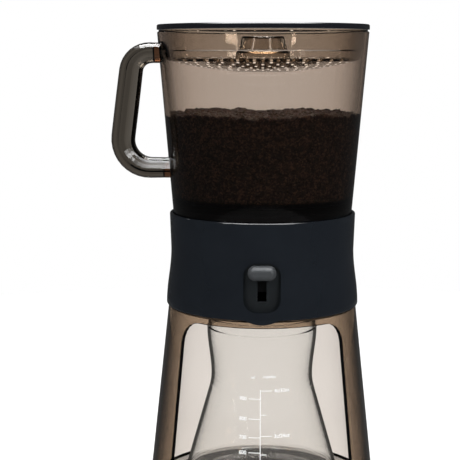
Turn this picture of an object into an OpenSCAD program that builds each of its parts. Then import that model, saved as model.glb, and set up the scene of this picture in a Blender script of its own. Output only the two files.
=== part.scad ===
// Cold brew coffee maker: a stand with a drain switch, a brewing container with a
// perforated water distributor, and a glass carafe. Millimetres, +Z up, -Y is the front.
// The origin is the centre of the underside, on the surface that the stand rests on.

/* [Heights] */
// Room between the carafe's lip and the collar's bottom edge
lip_room = 11.5; // [11:0.5:16]
// Height of the collar
collar_h = 76; // [74:1:80]
// Depth of the container's seat below the collar's top
seat_depth = 22; // [20:1:23]
// Height of the brewing container
container_h = 168.5; // [160:0.5:190]

/* [Stand] */
// Outer radius of the stand at its lower edge
base_r = 95; // [92:0.2:104]
// Outer radius of the stand under the collar
stand_top_r = 77.6; // [74:0.1:80]
// Wall thickness of the stand
stand_wall = 3; // [2.6:0.1:3.4]
// Thickness of the stand's floor
floor_t = 5; // [4:0.5:6]
// Radius of the non-slip pad
pad_r = 84; // [70:1:86]
// Thickness of the non-slip pad
pad_t = 2; // [1.5:0.1:2.5]
// How far the pad stands proud of the stand's lower edge
pad_proud = 1; // [0.6:0.1:1.2]
// Half the angle of the front arch, seen from above
arch_angle = 53.5; // [51:0.5:56]
// Height of the band between the arch and the collar
arch_band = 6; // [5:0.5:7]
// Corner radius of the front arch
arch_corner = 18; // [12:1:24]
// Height of the spigot that enters the collar
spigot_h = 6; // [5:0.5:7]

/* [Collar] */
// How far the collar's foot stands out past the stand
foot_over = 1.8; // [1.6:0.1:2.4]
// How far the collar's waist lies inside the stand's upper radius
waist_in = 2.2; // [1.8:0.1:2.4]
// Height of the waist above the collar's bottom edge
waist_h = 46; // [44:1:48]
// Growth of the collar's radius above its waist, per millimetre
collar_taper = 0.033; // [0.028:0.001:0.04]
// Wall thickness of the collar
collar_wall = 2.6; // [2.4:0.1:2.7]
// Radius of the collar's rounded lip
lip_r = 1.2; // [0.8:0.1:1.2]
// Width of the front tab below the collar
tab_w = 25; // [18:1:30]
// Drop of the front tab below the collar
tab_drop = 3; // [2:0.5:4]
// Width of the switch recess
recess_w = 29; // [28:0.5:31]
// Height of the recess above the collar's bottom edge
recess_up = 6.6; // [6:0.2:7]
// Corner radius of the switch recess
recess_corner = 10; // [6:0.5:12]
// Depth of the switch recess at the collar's waist
recess_depth = 2.2; // [1.8:0.1:2.4]
// Thickness of the switch panel
panel_t = 2.8; // [2.4:0.1:3]
// Width of the slot in the switch panel
slot_w = 7; // [6:0.5:8]

/* [Switch and lever] */
// Width of the switch button
button_w = 22; // [20:0.5:23]
// Height of the switch button
button_h = 11; // [10:0.5:12]
// Depth of the switch button, front to back
button_d = 9.5; // [8:0.5:12]
// Room in the recess above the closed button
button_head = 1.5; // [1.2:0.1:2]
// Travel of the switch
travel = 16; // [14:0.5:16]
// Lift of the valve at full travel
lift = 4; // [3:0.25:4]
// Radius of the lever's pivot pin
pivot_r = 1.5; // [1.2:0.1:1.8]
// Radius of the pusher pin
pusher_r = 3; // [2.5:0.1:3.5]

/* [Brewing container] */
// Outer radius of the container at its top edge
container_r = 85.7; // [85:0.1:88]
// Wall thickness of the container
container_wall = 3; // [2.6:0.1:3.4]
// Height of the floor's outer edge above the container's foot
floor_up = 36; // [34:1:44]
// Fall of the floor from its outer edge to the filter
floor_fall = 8; // [5:0.5:8]
// Radius of the filter's seat
filter_r = 39; // [34:0.5:44]
// Height of the filter
filter_h = 4; // [3.5:0.1:4]
// Inner radius of the outlet
outlet_r = 9; // [8:0.5:10]

/* [Handle] */
// Distance of the upper stub's centreline below the container's top edge
handle_top = 17; // [16:0.5:24]
// Distance of the lower stub's centreline below the container's top edge
handle_low = 110.5; // [100:0.5:116]
// Straight length of the handle before its upper bend
handle_run = 2.7; // [2.4:0.1:8]
// Centreline radius of the upper bend
bend_top_r = 16; // [15:0.5:20]
// Centreline radius of the lower bend
bend_low_r = 23; // [20:0.5:26]
// Thickness of the handle at its ends
handle_t = 16.5; // [14:0.5:18]
// How much thicker the handle is at mid height
handle_swell = 3; // [0:0.5:4]
// Width of the handle
handle_w = 25; // [20:0.5:28]
// Length of the stubs on the container
stub_l = 4.5; // [3:0.5:5]

/* [Water distributor] */
// Height of the rim above the container's edge
rim_h = 5.5; // [5:0.5:7]
// Wall thickness of the distributor
cup_wall = 2.2; // [1.8:0.1:2.6]
// Depth of the cup's side below the container's edge
cup_depth = 23.5; // [22:0.5:28]
// Depth of the shoulder line below the container's edge
shoulder_depth = 15.5; // [13:0.5:17]
// Sag of the perforated dish
dish_sag = 9.3; // [6:0.1:12]
// Radius of the central boss at its top
boss_r = 17.5; // [15:0.5:20]
// Depth of the boss's top below the rim
boss_drop = 9; // [6:0.5:12]
// Radius of the drip holes
drip_r = 1.1; // [0.9:0.1:1.3]
// Drip holes in each ring
drip_count = 36; // [24:1:40]
// Distance of the outer ring of drip holes from the dish's edge
drip_in = 4; // [3:0.5:6]
// Spacing of the rings of drip holes
drip_pitch = 6.75; // [6.25:0.25:7]
// Number of rings
drip_rings = 6; // [3:1:6]

/* [Carafe] */
// Height of the carafe
carafe_h = 143; // [135:0.5:160]
// Outer radius of the carafe's lip
mouth_r = 44.8; // [43:0.2:47]
// Outer radius of the carafe's neck
neck_r = 42.3; // [40:0.1:43]
// Largest outer radius of the carafe
belly_r = 63.1; // [60:0.1:66]
// Wall thickness of the glass
glass_t = 2.4; // [2:0.1:3]

/* [Hidden] */
$fn = 96;

// Clearances
seat_gap = 0.15;       // between pieces that are pushed together
slide_gap = 0.3;       // between the sliding switch and its panel
run_gap = 0.05;        // between a pin and its bore
rest_gap = 0.3;        // between soft or curved faces of different bodies
lip_gap = 0.35;        // between the container and the collar's lip
cut = 1;               // overrun of a cutting shape
far = 120;             // beyond every outer wall

// Heights above the table
floor_z = pad_proud + floor_t;
stand_h = floor_z + carafe_h + lip_room; // the collar's bottom edge
collar_top = stand_h + collar_h;
seat_z = collar_top - seat_depth;
edge_z = seat_z + container_h;
rim_z = edge_z + rim_h;
arch_top = stand_h - arch_band;
cover_t = 3;           // thickness of the bottom cover
cover_z = stand_h + 0.2; // a little above the collar's lower edge
cover_top = cover_z + cover_t;
waist_z = stand_h + waist_h;

// Radii that follow the stand's upper radius
foot_r = stand_top_r + foot_over;
waist_r = stand_top_r - waist_in;
panel_r = waist_r - recess_depth;

// A circular arc as points, from angle a0 to angle a1
function arc(x, y, r, a0, a1, n = 8) =
    [for (i = [0 : n]) let (a = a0 + (a1 - a0) * i / n) [x + r * cos(a), y + r * sin(a)]];

// Straight change from value a to value b while t goes from 0 to 1
function mix(a, b, t) = a + (b - a) * t;

// Soft change from 0 to 1, level at both ends
function ease(t) = (1 - cos(180 * min(1, max(0, t)))) / 2;

// Outer radius of the stand, the collar and the container at height z
function stand_r(z) = mix(base_r, stand_top_r, (z - pad_proud) / (stand_h - pad_proud));
function collar_r(z) = z > waist_z
    ? waist_r + (z - waist_z) * collar_taper
    : waist_r + (foot_r - waist_r) * ease((waist_z - z) / waist_h);
function vessel_r(z) = mix(container_foot_r, container_r, (z - seat_z) / container_h);

// The container's foot is as wide as lets its wall pass the collar's lip
bowl_r = collar_r(collar_top) - collar_wall;
sunk = seat_depth / container_h;
container_foot_r = (bowl_r - lip_gap - container_r * sunk) / (1 - sunk);

// Points of a closed polyline as triangles between two rings of n points, from ring i
function band(i, n) = [
    for (k = [0 : n - 1]) let (a = i * n + k, b = i * n + (k + 1) % n)
        each [[a, b, b + n], [a, b + n, a + n]]
];

// Cutter whose sides point at the axis. The outline is a list of [azimuth, height],
// with azimuth 0 at the front, counted anticlockwise from above.
module radial_cutter(outline, r_in, r_out) {
    n = len(outline);
    mid = (outline[0] + outline[floor(n / 2)]) / 2;
    outer = [for (p = outline) [r_out * sin(p[0]), -r_out * cos(p[0]), p[1]]];
    inner = [for (p = outline) [r_in * sin(p[0]), -r_in * cos(p[0]), p[1]]];
    ends = [for (r = [r_out, r_in]) [r * sin(mid[0]), -r * cos(mid[0]), mid[1]]];
    fan_out = [for (k = [0 : n - 1]) [2 * n, (k + 1) % n, k]];
    fan_in = [for (k = [0 : n - 1]) [2 * n + 1, n + k, n + (k + 1) % n]];
    polyhedron(concat(outer, inner, ends), concat(band(0, n), fan_out, fan_in));
}

// Outline of an opening in a round wall of radius r: half its angle, its bottom and top,
// and the radii of its lower and upper corners
function opening_outline(half, z0, z1, c0, c1, r) = let (
    a0 = c0 / r * 180 / PI,
    a1 = c1 / r * 180 / PI,
    corner = [0 : 15 : 90],
    edge = [1 : 7]
) concat(
    [for (t = corner) [half - a0 + a0 * cos(270 + t), z0 + c0 + c0 * sin(270 + t)]],
    [for (t = corner) [half - a1 + a1 * cos(t), z1 - c1 + c1 * sin(t)]],
    [for (i = edge) [mix(half - a1, a1 - half, i / 8), z1]],
    [for (t = corner) [a1 - half + a1 * cos(90 + t), z1 - c1 + c1 * sin(90 + t)]],
    [for (t = corner) [a0 - half + a0 * cos(180 + t), z0 + c0 + c0 * sin(180 + t)]],
    [for (i = edge) [mix(a0 - half, half - a0, i / 8), z0]]
);

// ---------------------------------------------------------------- stand

sill_corner = 2;       // corner radius where the arch meets the floor
edge_bevel = 1;        // bevel of the stand's lower edge
floor_bevel = 2;       // bevel between the stand's floor and wall
spigot_gap = 0.2;      // between the spigot and the collar
spigot_lead = 2;       // height over which the wall draws in to the spigot
spigot_r = collar_r(stand_h + spigot_h) - collar_wall - spigot_gap;
key_gap = 1;           // between the collar's pad and the notch in the spigot
cutter_r = 46;         // where the cutter of the arch begins

// Tinted conical shell with its floor, the front arch and the spigot for the collar
module stand_shell() color([0.52, 0.45, 0.40, 0.5]) difference() {
    rotate_extrude() difference() {
        polygon([
            [0, pad_proud], [base_r - edge_bevel, pad_proud],
            [stand_r(pad_proud + edge_bevel), pad_proud + edge_bevel],
            [stand_top_r, stand_h], [spigot_r, stand_h],
            [spigot_r, stand_h + spigot_h], [0, stand_h + spigot_h]
        ]);
        polygon([
            [0, floor_z], [stand_r(floor_z) - stand_wall - floor_bevel, floor_z],
            [stand_r(floor_z + floor_bevel) - stand_wall, floor_z + floor_bevel],
            [stand_top_r - stand_wall, stand_h - spigot_lead],
            [spigot_r - stand_wall, stand_h], [spigot_r - stand_wall, stand_h + spigot_h + cut],
            [0, stand_h + spigot_h + cut]
        ]);
        square([pad_r + seat_gap, pad_t]);
    }
    radial_cutter(
        opening_outline(arch_angle, floor_z, arch_top, sill_corner, arch_corner, stand_top_r),
        cutter_r, far
    );
    // Notch for the collar's switch pad
    translate([-pad_half - key_gap, -far, stand_h])
        cube([2 * (pad_half + key_gap), far, spigot_h + cut]);
}

// Soft disc under the floor, which the whole object stands on
module base_pad() color([0.12, 0.12, 0.12])
    cylinder(r = pad_r, h = pad_t);

// ---------------------------------------------------------------- collar

ledge_t = 3;           // thickness of the ledge that carries the deck
ledge_w = 3.2;         // how far the ledge stands in from the wall
deck_t = 4;            // thickness of the deck's outer flange
panel_lap = 2;         // overlap of the switch panel behind the recess
pad_lap = 3;           // overlap of the collar's thick pad around the recess
panel_gap = 0.1;       // between the pad and the panel
ledge_gap = 0.4;       // between the panel and the ledge
pad_half = recess_w / 2 + pad_lap;
recess_z = stand_h + recess_up;
recess_h = seat_z - deck_t - ledge_t - ledge_gap - panel_lap - recess_z;
button_z = recess_z + recess_h - button_head - button_h / 2;
tab_t = 1.2;           // thickness of the front tab
tab_root = 1;          // how far the tab reaches into the collar
collar_round = 1.6;    // radius of the collar's lower edge
lip_bevel = 0.5;       // bevel inside the collar's lip
tab_r = stand_r(stand_h - tab_drop) + run_gap;

// Rounded rectangle in the plane of the front, standing on height z0, from y0 to y1 in front of the axis
module front_pocket(w, h, r, z0, y0, y1) {
    translate([0, -y0, z0]) rotate([90, 0, 0]) linear_extrude(y1 - y0) polygon(concat(
        arc(w / 2 - r, r, r, -90, 0), arc(w / 2 - r, h - r, r, 0, 90),
        arc(r - w / 2, h - r, r, 90, 180), arc(r - w / 2, r, r, 180, 270)
    ));
}

// Outer outline of the collar, from its bottom edge to its lip
collar_steps = 14;
collar_outline = concat(
    [[foot_r - collar_round, stand_h]],
    arc(foot_r - collar_round, stand_h + collar_round, collar_round, -60, -10, 3),
    [for (i = [1 : collar_steps]) let (z = mix(stand_h + 2, waist_z, i / collar_steps)) [collar_r(z), z]],
    arc(collar_r(collar_top) - lip_r, collar_top - lip_r, lip_r, 0, 90, 5)
);

module collar_profile() polygon(concat([[0, stand_h]], collar_outline, [[0, collar_top]]));

// Glossy ring that joins the stand and the container, with the switch recess in front
module collar() color([0.15, 0.15, 0.17]) difference() {
    union() {
        rotate_extrude() difference() {
            collar_profile();
            polygon(concat(
                [[0, stand_h - cut], [foot_r - collar_wall, stand_h - cut]],
                [for (i = [0 : collar_steps]) let (z = mix(stand_h, waist_z, i / collar_steps))
                    [collar_r(z) - collar_wall, z]],
                [[bowl_r, collar_top - lip_r], [bowl_r + lip_bevel, collar_top],
                 [bowl_r + lip_bevel, collar_top + cut], [0, collar_top + cut]]
            ));
        }
        // Ledge under the deck
        translate([0, 0, seat_z - deck_t - ledge_t]) difference() {
            cylinder(r = waist_r - 1, h = ledge_t);
            translate([0, 0, -cut]) cylinder(r = waist_r - collar_wall - ledge_w, h = ledge_t + 2 * cut);
        }
        // Thick pad around the recess
        intersection() {
            rotate_extrude() collar_profile();
            difference() {
                translate([-pad_half, -far, recess_z - pad_lap])
                    cube([2 * pad_half, far, recess_h + pad_lap + panel_lap]);
                translate([0, 0, stand_h]) cylinder(r = panel_r + panel_gap, h = collar_h);
            }
        }
        front_tab();
    }
    front_pocket(recess_w, recess_h, recess_corner, recess_z, slider_back, far);
    // Seat of the switch panel
    intersection() {
        translate([0, 0, panel_z0 - panel_gap]) cylinder(r = panel_r + panel_gap, h = panel_h + 2 * panel_gap);
        translate([-panel_w / 2 - panel_gap, -far, panel_z0 - cut])
            cube([panel_w + 2 * panel_gap, far, panel_h + 2 * cut]);
    }
}

// Lens-shaped tab that hangs over the stand's band
module front_tab() {
    lens_r = (tab_w * tab_w / 4 + tab_drop * tab_drop) / (2 * tab_drop);
    intersection() {
        difference() {
            translate([0, 0, stand_h - tab_drop]) cylinder(r = tab_r + tab_t, h = tab_drop + tab_root);
            translate([0, 0, stand_h - tab_drop - cut])
                cylinder(r = tab_r, h = tab_drop + tab_root + 2 * cut);
        }
        translate([0, 0, stand_h - tab_drop + lens_r]) rotate([90, 0, 0]) cylinder(r = lens_r, h = far);
    }
}

// ---------------------------------------------------------------- switch panel

rail_x = 11.1;         // inner face of each rail
rail_t = 2.4;          // thickness of each rail
lip_w = 2.2;           // how far each rail's lip reaches over the slider
rail_back = 2;         // thickness of the rails' lips behind the slider
slider_front = panel_r - panel_t - 1.2; // clears the panel's curve
slider_t = 3.5;        // thickness of the slider's plate
slider_back = slider_front - slider_t;
neck_up = 3;           // neck above the button's centre
neck_down = 6.5;       // neck below the button's centre
slot_gap = 0.5;        // left over at each end of the slot
panel_z0 = recess_z - panel_lap;
panel_h = recess_h + 2 * panel_lap;
panel_w = recess_w + 2 * panel_lap;

// Matt panel with the slot, and the rails that guide the slider
module switch_panel() color([0.19, 0.19, 0.20]) difference() {
    union() {
        intersection() {
            translate([0, 0, panel_z0]) difference() {
                cylinder(r = panel_r, h = panel_h);
                translate([0, 0, -cut]) cylinder(r = panel_r - panel_t, h = panel_h + 2 * cut);
            }
            translate([-panel_w / 2, -far, panel_z0]) cube([panel_w, far, panel_h]);
        }
        for (side = [-1, 1]) intersection() {
            translate([side * (rail_x + rail_t / 2), 0, 0]) union() {
                translate([-rail_t / 2, -far, panel_z0])
                    cube([rail_t, far - slider_back + slide_gap + rail_back, panel_h]);
                translate([-side * lip_w / 2 - (rail_t + lip_w) / 2, -slider_back + slide_gap, panel_z0])
                    cube([rail_t + lip_w, rail_back, panel_h]);
            }
            translate([0, 0, panel_z0]) cylinder(r = panel_r - panel_t + 1, h = panel_h);
        }
    }
    translate([-slot_w / 2, -far, button_z - travel - neck_down - slot_gap])
        cube([slot_w, far - slider_front - slide_gap, travel + neck_down + neck_up + 2 * slot_gap]);
}

// ---------------------------------------------------------------- switch

button_gap = 0.8;      // between the button and the panel's face
button_back = panel_r + button_gap;
button_round = 4;      // radius of the button's front edge
button_bevel = 0.6;    // bevel of the button's rear edge
neck_w = slot_w - 2 * slide_gap;
socket_l = 4;          // how far the slider's neck enters the button
slider_up = 7;         // slider plate above the button's centre
slider_gap = 2.4;      // between the slider and the bottom cover at full travel
slider_down = button_z - travel - cover_top - slider_gap; // slider plate below the button's centre
nose_r = 2.2;          // radius of the lever's nose
nose_gap = 1.5;        // between the nose and the slider's plate
nose_y = slider_back - nose_gap - nose_r;
fork_gap = 0.3;        // above and below the nose in the slider's fork
fork_wall = 2.6;       // thickness of the fork's cheeks
fork_w = 10;           // width of the fork
fork_web = 0.4;        // wall between the fork's slot and the slider's plate

// Half outline of the button, from its back to its rounded front
function button_outline() = let (r = button_h / 2) concat(
    [[0, 0], [r - button_bevel, 0], [r, button_bevel]],
    arc(r - button_round, button_d - button_round, button_round, 0, 90),
    [[0, button_d]]
);

// Soft pill that the finger pushes down
module switch_button() color([0.34, 0.34, 0.35]) difference() {
    translate([0, -button_back, button_z]) rotate([90, 0, 0]) union() {
        for (side = [-1, 1]) translate([side * (button_w - button_h) / 2, 0, 0])
            rotate_extrude() polygon(button_outline());
        rotate([90, 0, 90]) translate([0, 0, (button_h - button_w) / 2])
            linear_extrude(button_w - button_h) union() {
                polygon(button_outline());
                mirror([1, 0]) polygon(button_outline());
            }
    }
    translate([-neck_w / 2 - run_gap, -button_back - socket_l, button_z - neck_up - run_gap])
        cube([neck_w + 2 * run_gap, socket_l + cut, 2 * (neck_up + run_gap)]);
}

// Slider behind the panel: a plate in the rails, a neck through the slot, and a fork
module switch_slider() color([0.13, 0.13, 0.14]) difference() {
    union() {
        translate([-rail_x + slide_gap, -slider_front, button_z - slider_down])
            cube([2 * (rail_x - slide_gap), slider_t, slider_up + slider_down]);
        translate([-neck_w / 2, -button_back, button_z - neck_down])
            cube([neck_w, button_back - slider_front + cut, neck_up + neck_down]);
        translate([-neck_w / 2, -button_back - socket_l + run_gap, button_z - neck_up])
            cube([neck_w, socket_l + cut, 2 * neck_up]);
        translate([-fork_w / 2, -slider_back - cut, fork_z - fork_half - fork_wall])
            cube([fork_w, slider_back - fork_end + cut, 2 * (fork_half + fork_wall)]);
    }
    translate([-fork_w / 2 - cut, -slider_back + fork_web, fork_z - fork_half])
        cube([fork_w + 2 * cut, far, 2 * fork_half]);
}

// ---------------------------------------------------------------- lever

// The front arm follows the switch and the rear arm lifts the pusher
front_arm = nose_y / (1 + lift / travel);
rear_arm = nose_y - front_arm;
lever_tilt = asin(travel / 2 / front_arm);
fork_z = button_z - 1.6; // the fork sits a little below the button's middle
fork_half = nose_r + fork_gap;
fork_end = nose_y - nose_r - 1.8; // the fork's free end, past the nose
pivot_z = fork_z - travel / 2;
arm_t = 3.2;           // thickness of the lever's arms
arm_w = 8;             // width of the lever's arms
hub_r = 4.5;           // radius of the lever's hub
hub_half = 12;         // half the length of the lever's hub
crown_r = 3;           // radius of the crown under the pusher
rib_t = 2;             // thickness of the rib under the front arm
rib_l = front_arm - 12.6; // length of the rib, clear of the fork

// Rocker between the slider's fork and the pusher pin
module rocker_lever() color([0.75, 0.75, 0.73])
    translate([0, -rear_arm, pivot_z]) rotate([-lever_tilt, 0, 0]) difference() {
        union() {
            rotate([0, 90, 0]) cylinder(r = hub_r, h = 2 * hub_half, center = true);
            translate([-arm_w / 2, -front_arm, -arm_t / 2])
                cube([arm_w, front_arm + rear_arm, arm_t]);
            translate([0, -front_arm, 0]) rotate([0, 90, 0])
                cylinder(r = nose_r, h = arm_w, center = true);
            translate([0, rear_arm, 0]) rotate([0, 90, 0])
                cylinder(r = crown_r, h = arm_w, center = true);
            // Stiffening rib along the front arm
            translate([-rib_t / 2, -rib_l, -hub_r]) cube([rib_t, rib_l, 2 * hub_r - 1]);
        }
        rotate([0, 90, 0]) cylinder(r = pivot_r + run_gap, h = 2 * hub_half + 2 * cut, center = true);
    }

// Steel pin that the lever rocks on
module pivot_pin() color([0.75, 0.75, 0.77])
    translate([0, -rear_arm, pivot_z]) rotate([0, 90, 0])
        cylinder(r = pivot_r, h = 2 * (hub_half + ear_gap + ear_t), center = true);

// ---------------------------------------------------------------- deck

ear_gap = 0.4;         // between the lever's hub and the deck's ears
ear_t = 3.6;           // thickness of the ears
ear_w = 9;             // width of the ears
basin_fall = 4;        // fall of the deck's basin to its middle
basin_t = 2.6;         // thickness of the basin
drain_r = 13;          // radius of the drain opening in the deck
guide_r = pusher_r + 2.6; // outside of the pusher's guide
guide_h = 9;           // height of the pusher's guide
post_r = 4;            // radius of the screw posts
post_in = 10.6;        // distance of the posts inside the basin's edge
screw_r = 1.25;        // radius of the cover screws
screw_l = 14;          // length of the screws inside the posts
deck_r = collar_r(seat_z) - collar_wall - seat_gap - (deck_t * collar_taper);
basin_r = vessel_r(seat_z) - container_wall - 2;
basin_z = seat_z - basin_fall;
post_ring = basin_r - post_in;
ring_in = vessel_r(seat_z) - container_wall + 0.3;
ring_out = vessel_r(seat_z) - 0.3;
ring_t = 1.5;          // thickness of the soft seat ring
groove_gap = 0.1;      // between the seat ring and its groove
web_t = 3;             // thickness of the webs that hold the pusher's guide

module at_posts() for (a = [45 : 90 : 315]) rotate(a) translate([post_ring, 0, 0]) children();

// Inner deck: carries the container, guides the pusher and holds the lever's ears
module deck() color([0.16, 0.16, 0.17]) difference() {
    union() {
        rotate_extrude() polygon([
            [drain_r, basin_z], [drain_r, basin_z - basin_t],
            [basin_r, seat_z - deck_t], [deck_r, seat_z - deck_t],
            [deck_r, seat_z], [basin_r, seat_z]
        ]);
        translate([0, 0, basin_z - guide_h]) cylinder(r = guide_r, h = guide_h);
        for (a = [30 : 120 : 270]) rotate(a)
            translate([guide_r - 1, -web_t / 2, basin_z - basin_t])
                cube([drain_r - guide_r + 2, web_t, basin_t - 0.2]);
        for (side = [-1, 1]) lever_ear(side);
        at_posts() translate([0, 0, cover_top])
            cylinder(r = post_r, h = seat_z - deck_t + 0.5 - cover_top);
    }
    translate([0, 0, basin_z - guide_h - cut]) cylinder(r = pusher_r + run_gap, h = guide_h + 2 * cut);
    translate([0, 0, seat_z - ring_t]) difference() {
        cylinder(r = ring_out + groove_gap, h = ring_t + cut);
        translate([0, 0, -cut]) cylinder(r = ring_in - groove_gap, h = ring_t + 3 * cut);
    }
    translate([0, -rear_arm, pivot_z]) rotate([0, 90, 0])
        cylinder(r = pivot_r + run_gap, h = 2 * (hub_half + ear_gap + ear_t + cut), center = true);
    at_posts() translate([0, 0, cover_top - cut]) cylinder(r = screw_r + run_gap, h = screw_l + 2 * cut);
}

// One ear for the pivot pin: a plate with a round lower end
module lever_ear(side) translate([side * (hub_half + ear_gap + ear_t / 2), -rear_arm, 0]) {
    translate([0, 0, pivot_z]) rotate([0, 90, 0]) cylinder(r = ear_w / 2, h = ear_t, center = true);
    translate([-ear_t / 2, -ear_w / 2, pivot_z]) cube([ear_t, ear_w, basin_z - pivot_z - 0.6]);
}

// Soft ring in the deck's groove, which the container's foot rests on
module seat_ring() color([0.10, 0.10, 0.10])
    translate([0, 0, seat_z - ring_t]) difference() {
        cylinder(r = ring_out, h = ring_t);
        translate([0, 0, -cut]) cylinder(r = ring_in, h = ring_t + 2 * cut);
    }

// ---------------------------------------------------------------- cover and funnel

cover_r = spigot_r - stand_wall - seat_gap;
head_r = 3;            // radius of the screws' heads
head_h = 1.8;          // height of the screws' heads
head_gap = 0.2;        // between the screws' heads and their counterbores
cross_w = 0.8;         // width of the screws' cross recess
cross_l = 3.2;         // length of the screws' cross recess
guard_r = 18;          // outer radius of the guard ring round the spout
guard_t = 2;           // thickness of the guard ring
guard_h = 2;           // height of the guard ring
funnel_r = 26;         // radius of the funnel's mouth
funnel_top = pivot_z - 8; // below the lever's crown
spout_r = 6;           // inner radius of the spout
spout_t = 2;           // wall thickness of the spout and funnel
spout_drop = 8;        // how far the spout reaches below the cover
flange_t = 2;          // thickness of the funnel's flange
flange_r = 13;         // radius of the funnel's flange

// Plate that closes the collar from below, with a guard ring round the spout
module bottom_cover() color([0.14, 0.14, 0.15]) difference() {
    union() {
        translate([0, 0, cover_z]) cylinder(r = cover_r, h = cover_t);
        translate([0, 0, cover_z - guard_h]) cylinder(r = guard_r, h = guard_h + cut);
    }
    translate([0, 0, cover_z - guard_h - cut]) cylinder(r = guard_r - guard_t, h = guard_h + cut);
    translate([0, 0, cover_z - cut]) cylinder(r = spout_r + spout_t + seat_gap, h = cover_t + 2 * cut);
    at_posts() translate([0, 0, cover_z - cut]) cylinder(r = screw_r + run_gap, h = cover_t + 2 * cut);
    at_posts() translate([0, 0, cover_z - cut]) cylinder(r = head_r + head_gap, h = head_h + cut);
}

// Four screws with a cross recess that draw the cover and the deck together
module cover_screws() color([0.70, 0.70, 0.72]) at_posts() translate([0, 0, cover_z]) difference() {
    union() {
        cylinder(r = head_r, h = head_h);
        cylinder(r = screw_r, h = cover_t + screw_l);
    }
    translate([0, 0, -cut]) for (a = [0, 90]) rotate(a)
        translate([-cross_w / 2, -cross_l / 2, 0]) cube([cross_w, cross_l, cut + 1]);
}

// Funnel above the cover, with its spout over the carafe's mouth
module drip_funnel() color([0.17, 0.17, 0.18]) rotate_extrude() polygon([
    [spout_r, cover_z - spout_drop], [spout_r + spout_t, cover_z - spout_drop],
    [spout_r + spout_t, cover_top], [flange_r, cover_top],
    [flange_r, cover_top + flange_t], [spout_r + spout_t, cover_top + flange_t],
    [funnel_r, funnel_top], [funnel_r - spout_t, funnel_top],
    [spout_r, cover_top + flange_t]
]);

// ---------------------------------------------------------------- pusher

pusher_foot = pivot_z - (travel / 2) * rear_arm / front_arm + crown_r + rest_gap;
pusher_foot_r = 5.4;   // radius of the pusher's foot
pusher_foot_h = 2.4;   // height of the pusher's foot
stem_gap = 1;          // stem end above the container's foot
pusher_top = seat_z + stem_gap - rest_gap;

// Pin that the lever lifts against the valve's stem
module pusher_pin() color([0.80, 0.80, 0.78]) union() {
    translate([0, 0, pusher_foot]) cylinder(r = pusher_r, h = pusher_top - pusher_foot);
    translate([0, 0, pusher_foot]) cylinder(r = pusher_foot_r, h = pusher_foot_h);
}

// ---------------------------------------------------------------- container

floor_edge_z = seat_z + floor_up;
filter_z = floor_edge_z - floor_fall - filter_h;
outlet_z = filter_z - 9;
floor_round = 6;       // radius inside the container where the wall meets the floor
rim_bevel = 0.8;       // bevel of the container's upper edge
bore_step = 1.2;       // step in the outlet that carries the stem's guide
guide_z = outlet_z - 4.5;
outlet_end = seat_z + 5;
tube_wall = 2.5;       // wall thickness of the outlet
floor_wall = 3;        // thickness of the container's floor
filter_land = 3.5;     // width of the filter's seat
grip_sides = 28;       // points round the handle
grip_square = 0.72;    // 1 is an ellipse, less is squarer
grip_taper = 0.3;      // how much narrower the handle is on its inner side

// Cross-section of the handle: a broad outer spine and a narrower inner web.
// s runs across the handle in its own plane, outwards positive, and w across its width.
function grip(t, w) = [for (k = [0 : grip_sides - 1]) let (
    a = 360 * k / grip_sides,
    s = sign(cos(a)) * pow(abs(cos(a)), grip_square) * t / 2,
    u = sign(sin(a)) * pow(abs(sin(a)), grip_square) * w / 2
) [s, u * (1 - grip_taper * ease(0.5 - s / t * 1.6))]];

// Stub on the container's wall at height z
module stub(z) translate([-vessel_r(z) - stub_l, 0, z]) rotate([90, 0, 90])
    linear_extrude(stub_l + container_wall) polygon([for (p = grip(handle_t, handle_w)) [p[1], p[0]]]);

// Stub whose spine is on its lower side
module low_stub(z) translate([0, 0, z]) mirror([0, 0, 1]) translate([0, 0, -z]) stub(z);

// Tinted vessel with its sloping floor, filter seat and outlet
module container() color([0.62, 0.56, 0.50, 0.5]) difference() {
    union() {
        rotate_extrude() polygon(concat(
            [[0, seat_z], [container_foot_r, seat_z], [container_r, edge_z - rim_bevel]],
            [[container_r - rim_bevel, edge_z], [0, edge_z]]
        ));
        stub(edge_z - handle_top);
        low_stub(edge_z - handle_low);
    }
    // Inside above the floor, with the filter's seat and the outlet
    rotate_extrude() polygon(concat(
        [[0, edge_z + cut], [container_r - container_wall, edge_z + cut]],
        [[container_r - container_wall, edge_z]],
        arc(vessel_r(floor_edge_z + floor_round) - container_wall - floor_round,
            floor_edge_z + floor_round, floor_round, 0, -78, 6),
        [[filter_r, filter_z + filter_h], [filter_r, filter_z],
         [filter_r - filter_land, filter_z], [outlet_r, outlet_z],
         [outlet_r, guide_z], [outlet_r - bore_step, guide_z],
         [outlet_r - bore_step, seat_z - cut], [0, seat_z - cut]]
    ));
    // Hollow under the floor, inside the skirt and around the outlet
    rotate_extrude() polygon([
        [vessel_r(seat_z) - container_wall, seat_z - cut],
        [vessel_r(seat_z) - container_wall, seat_z],
        [vessel_r(floor_edge_z - 6) - container_wall, floor_edge_z - 6 - floor_wall],
        [vessel_r(floor_edge_z) - container_wall - 6, floor_edge_z - floor_wall - 1.3],
        [filter_r + floor_wall, filter_z + filter_h - floor_wall + 0.6],
        [filter_r + floor_wall, filter_z - floor_wall + 0.6],
        [outlet_r + tube_wall, outlet_z - floor_wall + 0.6],
        [outlet_r + tube_wall, outlet_end], [0, outlet_end], [0, seat_z - cut]
    ]);
}

// ---------------------------------------------------------------- handle

grip_top_z = edge_z - handle_top;
grip_low_z = edge_z - handle_low;
bend_span = (grip_top_z - bend_top_r) - (grip_low_z + bend_low_r);
grip_lean = asin((bend_low_r - bend_top_r) / bend_span);
handle_reach = vessel_r(grip_top_z) + stub_l + handle_run; // the bends' centres

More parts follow.
